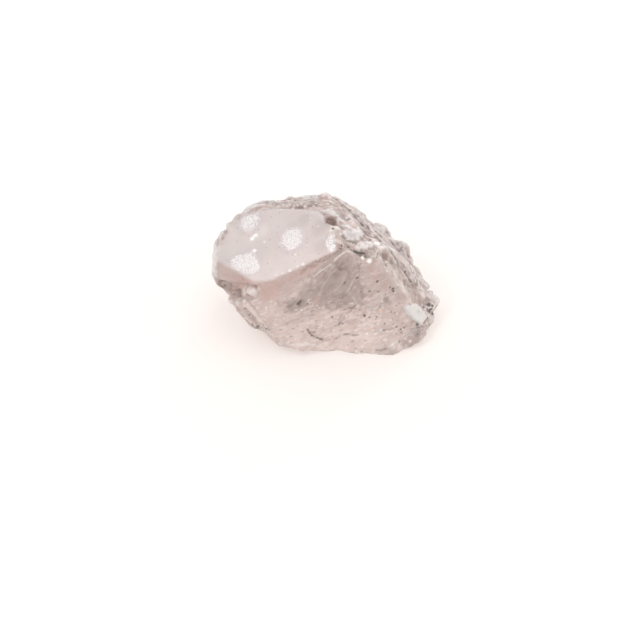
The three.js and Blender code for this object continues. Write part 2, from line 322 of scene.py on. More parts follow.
# %% Grab
GRABS = [  # place and radius in pixels, then how far it goes to the right, up and towards the camera
    (326, 198, 10, 0, 5, 0), (290, 200, 8, 0, 4, 0), (343, 201, 7, 0.5, 2, 0), (278, 203, 4, 0, -1.5, 0),
    (367, 219, 7, -2, -1, 0), (372, 226, 5, -1.5, -3, 0), (388, 232, 6, -2, -1.5, 0),
    (396, 240, 6, 1, 2.5, 0), (407, 248, 7, -2.2, -1, 0), (414, 264, 7, -1.5, -1.5, 0),
    (425, 278, 14, -3.5, -2.5, 0), (431, 294, 11, -1.5, -3, 0), (436, 309, 8, 5, 0, 0),
    (430, 322, 5, -3.5, 0, 0), (424, 334, 7, 2, -1, 0), (411, 343, 8, 1, -2, 0),
    (298, 347, 17, 0, -2, 2.4), (325, 348, 17, 0, -1.7, 2), (352, 350, 17, 0, -2.2, 2.6),
    (270, 333, 9, 4, 3, 0), (277, 341, 7, 3, 2, 0), (232, 305, 6, -2, -3, 0),
    (219, 284, 10, -1.5, -1.5, 0), (230, 227, 7, -3.5, 3.5, 0), (221, 237, 6, 2.2, -2, 0),
    (216, 244, 6, 1, -1, 0), (237, 217, 5, 1, -2.5, 0), (247, 209, 6, -0.5, 1.8, 0),
    (213, 255, 8, -1, 0, 0), (248, 291, 8, -1, 0, 5.5), (255, 289, 5, 0, 0, 4),
]


def grab(piece, pulls):
    """Pulls the skin round some places, fading out at the radius of each."""
    moved = read(piece, "co")
    for x, y, radius, right, up, toward in pulls:
        away = np.linalg.norm(skin - skin_at(x, y), axis=1) / (radius * PIXEL)
        pull = (TO_RIGHT * right + TO_TOP * up + TO_CAMERA * toward) * PIXEL * MM
        moved += np.outer(step(1, 0, away), pull)
    piece.data.vertices.foreach_set("co", moved.ravel())
    piece.data.update()


skin, tree = look(stone)
grab(stone, GRABS)
print(len(GRABS), "grabs, longest", round(max(math.hypot(*pull[3:]) for pull in GRABS) * PIXEL, 2), "mm")
skin, tree = look(stone)
grain = ragged(0.3, seed=3)
apply_on(stone, (1 - flat) * (1 - 0.7 * growths), "SMOOTH", factor=0.5, iterations=5)

# %% [markdown]
# ## Relief
#
# Beryl breaks in small shells with sharp crests between them, drawn out along the run of the break. Its
# striated side has fine ridges along its length. The broad front only rolls a little. The relief could be
# a Displace modifier with a texture, but one texture can't follow each face's own run. So every relief is
# a height in millimetres for each vertex, made of noise or of shells round random middles, and moves the
# skin along its normals.

# %% Relief by zones
ALONG_CREST = (1, 0.15, 0)
ALONG_BREAK = (0.62, -0.76, -0.21)
ALONG_SLOPE = (0.71, -0.44, -0.55)
UP_FRONT = (0.63, 0.13, 0.77)
ALONG_FOOT = (0.97, 0.2, 0.1)
ALONG_BACK = (0.3, 0.1, 1)


def nearest(places, middles):
    """The distance from each place to the nearest of some middles, and the number of that middle."""
    finder = kdtree.KDTree(len(middles))
    for index, middle in enumerate(middles):
        finder.insert(middle, index)
    finder.balance()
    found = [finder.find(place) for place in places]
    return np.array([distance for _, _, distance in found]), np.array([index for _, index, _ in found])


def shells(size, along, stretch, seed):
    """Hollow shells about this size, 0 at the middle of each and about 0.5 at the crests between them."""
    places = drawn_out(along, stretch)
    low, high = places.min(0), places.max(0)
    count = int(np.prod((high - low) / size))
    middles = np.random.default_rng(seed).uniform(low, high, (count, 3))
    return (nearest(places, middles)[0] / size) ** 2


def lift(piece, heights):
    """Moves each vertex along its normal by so many millimetres, but never below the resting face."""
    moved = read(piece, "co") + read(piece, "normal") * heights[:, None] * MM
    moved[:, 2] = np.maximum(moved[:, 2], 0)
    piece.data.vertices.foreach_set("co", moved.ravel())
    piece.data.update()


# %% Lift the relief
facets = 0.2 * shells(0.6, ALONG_BREAK, 1.8, 14)
steps = 0.3 * shells(1.3, ALONG_BREAK, 2.4, 4) + 0.04 * ragged(0.35, ALONG_BREAK, 4, 9) + facets
ridges = 0.07 * ragged(0.35, ALONG_SLOPE, 8, 3) + 0.16 * shells(1.3, ALONG_SLOPE, 3, 5)
crest = 0.06 * ragged(0.3, ALONG_CREST, 4, 6) + 0.2 * shells(0.8, ALONG_CREST, 2.2, 7)
low_down = step(4.2, 2.6, skin[:, 2])
back_steps = 0.3 * shells(1.6, ALONG_BACK, 2, 15) + 0.04 * ragged(0.35, ALONG_BACK, 3, 16)
rolls = (1 - low_down) * ragged(0.9, UP_FRONT, 2.2, 8) + low_down * ragged(0.6, ALONG_FOOT, 2.5, 10)
quiet = on("end_face", "base", *BEVELS, fade=0.3, inset=-0.3)

heights = (
    (steps - 0.15) * on(*STEPPED)
    + (ridges - 0.05) * on(*STRIATED)
    + (crest - 0.06) * on(*CREST)
    + 0.05 * rolls * on(*BROAD)
    + (back_steps - 0.12) * on(*HIND, fade=0.2)
    + 0.06 * ragged(0.8, ALONG_SLOPE, 1.6, 12) * (1 - broken)
)
lift(stone, heights * (1 - quiet) * (1 - 0.8 * growths))
print("relief, mm:", round(heights.min(), 2), "to", round(heights.max(), 2))

# %% [markdown]
# ## Marks
#
# The stone's specks, cracks, clouds and frosted patches are marks on the skin: one number from 0 to 1 for
# each vertex, which the material reads by name. They could be painted by hand in Vertex Paint mode, but
# brushes in code put each mark at a known place and give the same stone each time. Some marks are carved
# as well: hollows and open cracks go in, glassy lumps and glinting blebs stand out.

# %% Brushes for marks
BEAD_GAP = 0.7  # pixels between the dabs that a stroke is made of

skin, tree = look(stone)


def dabs(spots, rough=0.3):
    """How much each vertex is covered by round spots, each (x, y, radius), all in pixels."""
    cover = np.zeros(len(skin))
    for x, y, radius in spots:
        away = np.linalg.norm(skin - skin_at(x, y), axis=1) / (max(radius, 1) * PIXEL)
        cover = np.maximum(cover, step(1.3, 0.7, away + rough * grain) * min(radius, 1))
    return cover


def strokes(lines, rough=0.3):
    """How much each vertex is covered by drawn lines, each (width, (x, y), (x, y) ...), all in pixels."""
    cover = np.zeros(len(skin))
    for width, *corners in lines:
        for (x0, y0), (x1, y1) in zip(corners, corners[1:]):
            count = max(2, round(math.hypot(x1 - x0, y1 - y0) / BEAD_GAP))
            ways = [i / (count - 1) for i in range(count)]
            beads = [(x0 + (x1 - x0) * way, y0 + (y1 - y0) * way, width / 2) for way in ways]
            cover = np.maximum(cover, dabs(beads, rough))
    return cover


def bloom(spots):
    """Wide clouds with soft edges, each (x, y, radius), all in pixels."""
    cover = np.zeros(len(skin))
    for x, y, radius in spots:
        away = np.linalg.norm(skin - skin_at(x, y), axis=1) / (radius * PIXEL)
        cover = 1 - (1 - cover) * (1 - step(1.3, 0.3, away + 0.2 * grain))
    return cover


def sprinkled(where, count, radius, along, stretch, seed):
    """Small flecks at random places where this weight is high, drawn out along one direction."""
    places = drawn_out(along, stretch)
    draw = np.random.default_rng(seed)
    middles = draw.choice(places[where > 0.5], count, replace=False)
    radii = draw.uniform(0.5, 1.5, count) * radius
    away, fleck = nearest(places, middles)
    return step(1.3, 0.6, away / radii[fleck] + 0.3 * grain)


# %% [markdown]
# ## Frosted patches and painted glints
#
# The end face has four patches where fine growth pits scatter the light like frost. The lamps' glare on
# them is painted as white glitter, and a few glints are painted as white spots. The patches fade out
# softly, so they are blooms. The spots have sharp edges, so they are dabs.

# %% Frosted patches
# Where the lamps' glare falls on the frosted end face, painted in the material as white glitter.
FROST_GLARE = [
    (250, 222, 12), (291.6, 239, 14.5), (246, 263, 13), (237, 261, 8), (254, 268, 8), (332, 237, 6),
    (333, 248, 6), (329, 243, 5),
]
# Glints, painted as white spots.
GLINT_SPOTS = [
    (252.5, 238.5, 2.6), (256, 235.5, 2.2), (254.6, 250.7, 2.4), (264.8, 241.8, 1.3), (295.2, 254.7, 1),
    (307, 246, 1), (297.4, 266.3, 1), (289.8, 270.8, 1.3), (282.7, 273.5, 1.1), (318, 226.6, 1),
    (309.9, 218.6, 0.9), (312, 213.7, 0.9), (281, 210, 1.1), (292.6, 208.5, 1.1), (276, 275, 1),
    (303, 264, 0.9),
]
frost_and_glare = np.clip(bloom([(x, y, 1.2 * radius) for x, y, radius in FROST_GLARE]) * 1.3, 0, 1)
marks = {"frost_and_glare": frost_and_glare * on("end_face")}
print(len(FROST_GLARE), "blooms of frost,", len(GLINT_SPOTS), "white spots")

# %% [markdown]
# ## Cracks and dark grains
#
# Short cracks run near the foot of the front, and dark mineral grains sit in the stone, most of them at
# its right end. The large ones are drawn one by one. Hundreds of finer flecks lie at random on the broken
# faces and low on the front, drawn out along the run of each. A few of the large ones are painted shade
# in hollows of the break.

# %% Cracks and dark grains
# The widest stroke, under the ledge on the break, is painted shade in the hollow there.
CRACKS = [
    (1.8, (307.4, 329.6), (309.5, 333.2), (311.7, 335.4)), (1.1, (311.7, 335.4), (316.5, 337.6)),
    (1.8, (317, 337.8), (321.8, 339.7)), (1.3, (310.5, 332.3), (314.5, 332.3)),
    (0.6, (326.2, 340.9), (330, 339.6)), (0.8, (334, 338.4), (339.9, 336.6)),
    (1.4, (343.6, 334.7), (347.9, 333.9)), (0.6, (347.9, 333.9), (352, 335.2)),
    (1.2, (352.5, 335.6), (356.9, 335.1)), (1.2, (382.6, 330.3), (386, 329.8)),
    (0.7, (386, 329.8), (393.5, 328.9)), (1.5, (338.5, 325), (339.9, 322.6), (342.8, 323.8)),
    (1.2, (348.6, 307.9), (352, 308.5), (355.1, 305.5)), (1.3, (299.5, 305.5), (301.3, 299.6)),
    (1.6, (251.5, 325.5), (255, 327.5), (259, 328.5), (263, 327)),
    (1.4, (259.5, 322.5), (262.5, 324.5), (264.5, 328), (268.5, 330)), (1.3, (378.5, 252), (376.9, 257)),
    (3.0, (354.5, 251), (358, 252.5), (364.5, 253.5)), (1.2, (402, 247), (399.6, 250.7)),
    (1.2, (407.5, 252), (408.5, 257)), (1.1, (376, 350.2), (380, 350.8), (385.5, 348.7)),
    (1.6, (375.6, 231.7), (378.1, 235.5)),
]
# The three specks near 341 to 349 across and 245 to 248 down are painted shade in a hollow of the break.
SPECKS = [
    (300, 302, 1.8), (298.2, 304, 1.4), (307.4, 304, 1.1), (357.3, 278.2, 1.7), (377.3, 281.8, 1.4),
    (393, 289, 1.8), (393.6, 291.4, 1.3), (389.9, 287.6, 1), (396.7, 327, 1), (404.1, 327.7, 1.1),
    (400.7, 329.3, 0.9), (401.5, 332.5, 0.8), (384.8, 323.8, 0.9), (376.4, 316.9, 0.9), (369.6, 317, 0.9),
    (364.5, 315.9, 1.5), (332, 317, 1.1), (391.3, 312, 1), (396.4, 305.7, 0.8), (399.3, 341.2, 0.8),
    (249.2, 315.1, 1), (245.3, 308.6, 0.9), (252.5, 325.5, 1.2), (421.7, 308.6, 1.4), (424, 307, 1.3),
    (429, 304.3, 2), (432.6, 305.7, 1.6), (431.1, 309.3, 1.5), (432.6, 313.7, 1.5), (427.8, 318.5, 1.8),
    (425.3, 322.4, 1.7), (417.4, 324.5, 1.4), (342, 245, 1.3), (348.5, 247, 1.2), (341, 248, 1),
    (417.1, 334, 0.9), (369.6, 291.2, 0.9), (361, 292, 0.8), (378.3, 292, 0.8), (345, 283, 1),
    (325.7, 222.9, 0.9), (333, 228.5, 1.2), (230, 299, 0.8), (234, 294, 0.8), (411, 282.2, 0.9),
    (405.3, 272.1, 1), (252, 324, 1), (266, 329, 1.2),
]
LOW_RUN = (0.97, 0.1, 0.25)
uneven = (1 - quiet) * (1 - growths)
rough_all = np.maximum(broken, on(*HIND))
low_front = on(*BROAD) * step(6.5, 5, skin[:, 2])
dark_flecks = np.maximum(
    sprinkled(rough_all * uneven, 360, 0.07, ALONG_BREAK, 2.2, 21),
    sprinkled(low_front, 150, 0.065, LOW_RUN, 2, 22),
)
marks["dark"] = np.max([strokes(CRACKS), dabs(SPECKS), 0.55 * dark_flecks], axis=0)
print(len(CRACKS), "cracks,", len(SPECKS), "dark grains")

# %% [markdown]
# ## Painted glints and highlights, and veils
#
# Small flat facets and blebs throw the light straight back, and so do some edges. These glints and edge
# highlights are painted white and drawn like the cracks, and finer ones are sprinkled at random. Veils
# are healed cracks inside the stone, pale and soft, so they are strokes with rough edges.

# %% Glints
GLINTS = [
    (369.3, 260.8, 3), (362.3, 258.2, 1.6), (377.6, 243.4, 2.2), (340.3, 234.2, 1.6), (335.8, 226.7, 1.4),
    (346.6, 218.1, 1.3), (352.6, 223, 1.1), (355.4, 232.3, 1.1), (239.7, 298.7, 1.1), (244.4, 300.3, 1.6),
    (317.2, 305.3, 1), (301.6, 310, 1), (308, 300, 1), (266.4, 307.8, 1), (275.4, 303.9, 1),
    (333.4, 330.3, 1.1), (323.3, 333.9, 1), (367.8, 310.6, 0.9), (363.5, 320.2, 0.8), (346.4, 316.6, 1),
    (381.2, 330, 1.2), (367, 333.7, 1), (362.4, 346.3, 1.2), (377.6, 344.8, 1.2), (355.9, 351.3, 1.1),
    (359.5, 353.4, 1.2), (387, 270.9, 1.3), (390.8, 255.7, 1.2), (397, 313.8, 0.8), (250, 292.5, 0.9),
    (383.2, 232.3, 1), (283, 205, 1), (290, 205.5, 1), (274.5, 204.5, 1), (323.8, 196.4, 1.1),
    (327.6, 203.9, 1.2), (331.4, 205.8, 1.2), (316.3, 203.3, 1), (308, 201, 0.9), (410, 341, 1.4),
    (394.5, 292.3, 1), (397, 285, 1.2), (380.5, 310, 1), (287, 206.2, 0.8), (294, 206, 0.9),
    (297.5, 205.3, 0.9), (301, 204, 0.8), (305, 206, 0.9), (313, 207, 0.9), (330.5, 231, 1),
    (333.5, 236, 1), (335, 241, 1), (334.5, 246, 1), (331, 250.5, 1), (338, 216, 1.1), (343, 221, 1.2),
    (339, 219.5, 1), (347, 226, 1), (350, 221, 0.9), (358, 228, 0.9), (386, 262, 1.1), (409, 289, 0.9),
    (403, 287, 0.9), (303, 197, 1.5), (309.5, 196, 1.6), (316, 194.8, 1.4), (214, 250, 1.2),
    (213.5, 262, 1.5), (214, 271, 1.2), (251, 203, 1.2), (243, 207.5, 1.2),
]
HIGHLIGHT_LINES = [
    (1.8, (334.1, 260.9), (339, 256), (344.3, 252.2)), (1.4, (313.9, 276), (322, 270), (330.5, 264.5)),
    (1.2, (290, 344.8), (307.4, 344.1), (317.5, 346.3), (327.6, 349.9)),
    (1.8, (346.6, 239.3), (352.9, 239.5)), (1.5, (356.7, 246.9), (364, 246.2), (371.8, 247.5)),
    (1.4, (365.5, 241), (371, 243.5), (376, 243.5)), (1.3, (344, 234), (349, 238), (353, 239.5)),
    (1.0, (380.5, 312.2), (380.5, 318), (379, 322.4), (369.6, 328.2)), (1.4, (320, 326.5), (322.5, 324)),
    (1.0, (345, 320.5), (350, 317)), (1.0, (381.9, 294.9), (382.6, 307.9)),
    (1.1, (405.8, 336.8), (410, 332), (416, 328.9)), (1.2, (418, 288), (424, 290)),
    (1.1, (368.2, 308.6), (376, 309)),
]
# Two orange glints, painted as highlights.
ORANGE_GLINTS = [(381, 310.8, 1.7), (369.6, 328.6, 1.3)]
VEILS = [
    (1.8, (319, 296), (322, 288), (329, 276), (337, 269)), (1.5, (322, 305), (332, 301), (346, 299)),
    (1.3, (297, 291.5), (306, 289), (314, 288)), (1.5, (313, 285), (318, 278), (325, 271)),
    (1.6, (348, 292), (353, 281), (360, 272)), (1.4, (279, 297), (288, 293), (297, 288)),
    (1.5, (334, 292), (341, 284), (347, 273)), (1.5, (342, 300), (350, 294), (355, 286)),
    (1.3, (395, 285), (397, 296), (392, 305)), (1.5, (268, 300), (277, 304), (281, 312), (279, 322)),
]
glint_flecks = np.maximum(
    sprinkled(rough_all * uneven, 600, 0.08, ALONG_BREAK, 2.2, 23),
    sprinkled(low_front, 200, 0.07, LOW_RUN, 2.2, 24),
)
# Painted highlights, all white: glints, edge highlights and random glint flecks.
marks["white"] = np.max(
    [dabs(GLINT_SPOTS), dabs(GLINTS, 0.2), 0.75 * strokes(HIGHLIGHT_LINES), 0.6 * glint_flecks], axis=0
)
marks["veil"] = strokes(VEILS, 0.6)
marks["orange_glint"] = dabs(ORANGE_GLINTS)
print(len(GLINTS), "glints,", len(HIGHLIGHT_LINES), "bright edges,", len(VEILS), "veils")

# %% [markdown]
# ## Clouds of colour
#
# The colour of the stone isn't even. It is pinker under the end face and brown where the break is stained.
# Painted shade in the same brown darkens the hollows of the break, the recess below the left bevel and
# the groove under the crest. The stone is greyer in some clouds and paler in others, and the pale clouds
# on the lower front and its foot are partly painted light. It is nearly colourless at thin rims. Round
# clouds are blooms, and those that follow a face are patches with straight sides.

# %% Clouds of colour
PINK_BANDS = [
    [(217, 261), (226, 265), (247, 279), (262, 283), (262, 286), (243, 285.5), (222, 274)],
    [(262, 283), (284, 276), (311, 264), (334, 249), (338, 251), (313, 270), (290, 281), (272, 288)],
    [(259, 284), (283, 280), (278, 296), (266, 303), (259, 298)],
    [(262, 206), (275, 202.5), (290, 201), (290, 207), (270, 208.5)],
    [(288, 201.5), (317, 199), (318, 209), (290, 207)],
    [(316, 198), (323, 192), (331, 194.5), (345, 205), (335, 212), (318, 209)],
]
PINK = [
    (376, 283, 8), (386, 287, 7), (350, 220, 4), (358, 227, 4), (366, 234, 4), (374, 240, 4),
    (372, 270, 7), (236, 271, 3), (316, 300, 5), (330, 316, 5),
]
# Brown is partly a stain and partly painted shade: in the hollows of the break, in the recess below the
# left bevel and in the groove between the end face and the crest.
BROWN_BANDS = [
    [(300, 269), (318, 259), (335, 249), (338, 252), (322, 263), (301, 274)],
    [(218, 283), (238, 285), (240, 292), (232, 297), (224, 293)],
    [(262, 206), (275, 202.5), (318, 199), (318, 209), (290, 207)],
]
BROWN = [
    (332, 222.9, 6.5), (339, 246.5, 5), (346, 247.5, 5), (360, 253, 5), (345, 211, 3.5),
    (354, 217.5, 3.5), (362, 224.5, 3), (368, 233, 5), (374, 238, 4), (336, 199.5, 3), (385, 257, 5),
    (392, 261, 4.5), (398, 265, 3.5), (226, 289, 5), (231, 291, 5), (340, 269, 2.5), (380, 236, 3),
    (371, 252, 6), (364, 252, 5), (341, 205, 3), (350, 210, 3), (358, 216, 3), (275, 205, 5),
    (287, 204.5, 5), (300, 204, 5), (311, 204, 5), (373, 251, 6), (367, 255, 4), (362, 221, 4),
    (369, 228, 4), (229, 291, 7),
]
GREY_BANDS = [
    [(338, 251), (350, 252), (361, 264), (364, 305), (336, 310), (306, 304), (306, 282)],
    [(406, 336), (416, 328), (427, 327), (425, 338), (416, 346)],
]
GREY = [
    (345, 266, 9), (333, 276, 9), (300, 303, 8), (294, 309, 6), (386, 300, 5), (257, 318, 4),
    (427, 300, 5), (279, 343, 4), (396, 262, 4), (412, 273, 6), (418, 282, 5), (404, 264, 5),
    (310, 286, 7), (304, 293, 8), (292, 303, 8), (320, 228, 12), (322, 247, 11), (304, 220, 9),
]
GRAIN_BEDS = [
    [(420, 301), (434, 303), (435, 316), (427, 324), (421, 314)],
    [(414, 323), (426, 320), (426, 327), (415, 327)],
    [(250, 324), (258, 324), (270, 329), (256, 332)],
]
SPECKLED = [(372, 316, 14), (355, 314, 9), (392, 328, 11), (302, 305, 8), (318, 331, 9)]
DEEP = [
    (329, 286, 6), (346, 299, 7), (340, 266, 6), (335, 276, 5), (344, 283, 4), (352, 303, 4),
    (300, 303, 5),
]
# Paler clouds. Those on the lower front and along its foot are partly painted light, coming up through the
# stone from below.
PALE = [
    (395, 274, 9), (400, 280, 7), (389, 266, 6), (354, 234.9, 8), (347, 234, 6), (366, 246, 7),
    (358, 247, 4), (300, 330, 14), (340, 333, 14), (322, 318, 9), (365, 340, 14), (285, 330, 12),
    (345, 343, 12), (325, 347, 8), (372, 322, 8), (404, 292, 6), (310, 284, 6), (276, 312, 8),
    (243, 300, 4), (330, 207, 4), (345, 224, 4), (348, 220, 8), (375, 350, 10), (360, 350, 10),
    (300, 343, 8), (345, 350, 8), (395, 345, 8), (340, 216, 4), (352, 224, 4), (224, 250, 12),
    (232, 234, 9), (262, 232, 9), (322, 315, 8), (333, 313, 6),
]
CLEAR = [
    (245, 291, 6), (252, 292, 6), (404, 255, 6), (400, 247, 5), (383, 230, 5), (388, 238, 4),
    (432, 296, 6), (436, 303, 5), (281, 344, 4), (270, 203, 4), (280, 202, 3), (231, 302, 4),
    (238, 301, 4),
]
RIMS = [
    [(210, 243), (217, 238), (217, 277), (210, 279)],
    [(236, 208), (262, 196), (267, 203), (246, 212)],
    [(296, 199), (304, 192), (320, 191), (317, 199)],
    # These two are glassy lumps on the break, painted pale: partly clear crystal, partly painted
    # highlight.
    [(344, 229.5), (352, 228.5), (361, 231), (362, 236), (353, 239.5), (345, 237)],
    [(357, 244), (366, 240.5), (378, 241), (377, 245), (366, 248.5), (357, 248)],
]
CHIP = [(402.2, 307.2), (415.9, 303.3), (421, 307.9), (426.8, 316.6), (421, 324.5), (410.9, 318.8)]
PRISM = [(237, 303), (246, 300), (269, 328), (252, 330)]


# %% Paint the clouds
def patches(all_corners, soft):
    """Patches with straight sides, as deep as the stone's near side."""
    return np.max([patch(corners, soft, deep=5) for corners in all_corners], axis=0)


marks["pink"] = np.maximum(0.6 * bloom(PINK), patches(PINK_BANDS, 3))
marks["brown"] = np.maximum(bloom(BROWN), 0.9 * patches(BROWN_BANDS, 2))
marks["grey"] = np.maximum(0.9 * bloom(GREY), 0.85 * patches(GREY_BANDS, 11))
marks["deep"] = bloom(DEEP)
marks["pale"] = bloom(PALE)
marks["clear"] = np.maximum(0.8 * bloom(CLEAR), patches(RIMS, 0.8))
marks["chip"] = patch(CHIP, soft=0.6)
marks["prism"] = patch(PRISM, soft=0.6, deep=3)
marks["grains"] = patches(GRAIN_BEDS, 1.5)
marks["specked"] = bloom(SPECKLED)
marks["end"] = on("end_face")
marks["bevel"] = on("front_bevel", "right_edge", "left_bevel")
marks["front"] = on(*BROAD, "corner_bevel", fade=0.5)
marks["broken"] = np.maximum(broken, 0.7 * on(*HIND, fade=0.3))
print(len(marks), "marks so far")

# %% [markdown]
# ## Hollows, lumps and creases
#
# A real crack catches a shadow, which colour alone can't give. So the marks that have depth are lifted or
# sunk by up to an eighth of a millimetre, with the same brushes. The creases also get painted shade.

# %% Carve hollows and cracks, raise lumps and blebs
HOLLOWS = [(331.5, 222.5, 6.5), (360, 253, 4), (344, 247, 4)]
LUMPS = [
    (349, 234.5, 6), (358, 235, 6), (366, 245, 5), (372, 246, 4), (395, 274, 8), (245, 291, 4),
    (252, 292, 4),
]
CREASES = [
    (1.6, (381.9, 240.6), (390.8, 250.7), (402, 268), (411, 282)),
    (1.4, (331.4, 195.5), (342, 204), (363, 219.5)),
    (1.5, (339, 202), (352.9, 213.4), (364.2, 226.7), (380.7, 241.2)),
    (1.5, (428, 326), (416, 327.5), (405, 337)),
    (1.2, (402, 307), (409.5, 314.5), (411, 319), (421, 325)),
    (1.2, (247, 299.5), (258, 313.5), (270, 330.5)), (1.2, (236.5, 307), (244, 317), (251, 326)),
    (1.3, (241, 296), (247, 299.5), (256, 298.5), (258, 293)),
    (1.2, (343, 237.5), (347, 241), (354, 242.3), (361, 240)), (1.2, (364, 235), (370, 240)),
    (1.1, (262, 210), (275, 208), (300, 208.7), (318, 210.8), (325, 215)), (1.1, (346, 249), (352, 250)),
    (1.1, (337, 252), (344, 250)), (1.0, (357, 262), (360, 270), (358, 282)),
]
creases = strokes(CREASES, 0.5)
# Painted shade along the creases, added to the dark mark.
marks["dark"] = np.maximum(marks["dark"], 0.4 * creases) * (1 - 0.8 * marks["chip"])
lift(stone, 0.1 * bloom(LUMPS) - 0.12 * bloom(HOLLOWS) - 0.07 * creases)
lift(stone, 0.05 * marks["white"] - 0.07 * marks["dark"] + 0.08 * marks["chip"])
print(len(HOLLOWS), "hollows,", len(LUMPS), "lumps,", len(CREASES), "creases")

# %% [markdown]
# ## Hollows and rims of the relief
#
# On a real break, light gathers in thin rims and is lost in hollows. The relief itself tells where they
# are: a vertex stands out from the average of its neighbours at a rim and lies below it in a hollow. That
# is measured over a short and a long way, for the small splinters and for the large steps.

# %% Measure the relief
def roundness(piece, passes):
    """How far each vertex stands out from its neighbours, averaged over some passes, in millimetres."""
    mesh = piece.data
    ends = np.empty(len(mesh.edges) * 2, dtype=int)
    mesh.edges.foreach_get("vertices", ends)
    first, second = ends.reshape(-1, 2).T
    count = np.bincount(ends, minlength=len(mesh.vertices))
    place = read(piece, "co") / MM
    soft = place.copy()
    for _ in range(passes):
        near = [
            np.bincount(first, soft[second, axis], len(soft))
            + np.bincount(second, soft[first, axis], len(soft))
            for axis in range(3)
        ]
        soft = np.stack(near, axis=1) / count[:, None]
    return np.einsum("ij,ij->i", place - soft, read(piece, "normal"))


near_out, far_out = roundness(stone, 6), roundness(stone, 40)
for name, out in (("near", near_out), ("far", far_out)):
    print(name, "relief, mm:", np.round(np.percentile(out[broken > 0.5], (5, 25, 50, 75, 95)), 3))
# In the material the rims get a painted highlight and the hollows painted shade.
marks["rim"] = np.maximum(step(0.01, 0.05, near_out), 0.8 * step(0.04, 0.14, far_out))
marks["hollow"] = np.maximum(step(0.01, 0.05, -near_out), 0.8 * step(0.02, 0.14, -far_out))


# %% Keep the marks
def keep_mark(piece, name, values):
    """Stores one number for each vertex, which a material can read by its name."""
    layer = piece.data.attributes.new(name, "FLOAT", "POINT")
    layer.data.foreach_set("value", values.astype(np.float32))


for name, cover in marks.items():
    keep_mark(stone, name, cover)
    print(f"{name}: {cover.mean():.1%} of the skin")


# %% [markdown]
# ## The crystal's material
#
# Morganite is clear, but this stone is so full of flaws that light goes in and comes back milky. Pure
# glass would be too clear, and a volume that scatters is slow and noisy. A Principled shader that is part
# transmission and part subsurface gives the milky depth, an absorbing volume tints the thick parts, and a
# thin coat gives the glassy shine.
#
# Shader maths is written as plain expressions. A Wire is one output of a node, and Python's operators on
# it add Math nodes. A Recipe is one material, and its node method adds any other node.


# %% Wires
class Wire:
    """One output of a shader node."""

    def __init__(self, recipe, socket):
        self.recipe = recipe
        self.socket = socket

    def maths(self, operation, *values):
        """A Math node on some wires or numbers."""
        return self.recipe.node("ShaderNodeMath", {"operation": operation}, dict(enumerate(values)))

    def __add__(self, other):
        return self.maths("ADD", self, other)

    def __sub__(self, other):
        return self.maths("SUBTRACT", self, other)

    def __rsub__(self, other):
        return self.maths("SUBTRACT", other, self)

    def __mul__(self, other):
        return self.maths("MULTIPLY", self, other)

    __radd__ = __add__
    __rmul__ = __mul__

    def other(self, name):
        """Another output of the same node."""
        return Wire(self.recipe, self.socket.node.outputs[name])

    def over(self, limit, softness):
        """0 below the limit and 1 above it, with a soft step between."""
        settings = {"interpolation_type": "SMOOTHSTEP"}
        inputs = {"Value": self, "From Min": limit - softness, "From Max": limit + softness}
        return self.recipe.node("ShaderNodeMapRange", settings, inputs)


# %% Recipes
MIX_FIRST, MIX_SECOND, MIXED = 6, 7, 2  # the sockets for colours on a Mix node


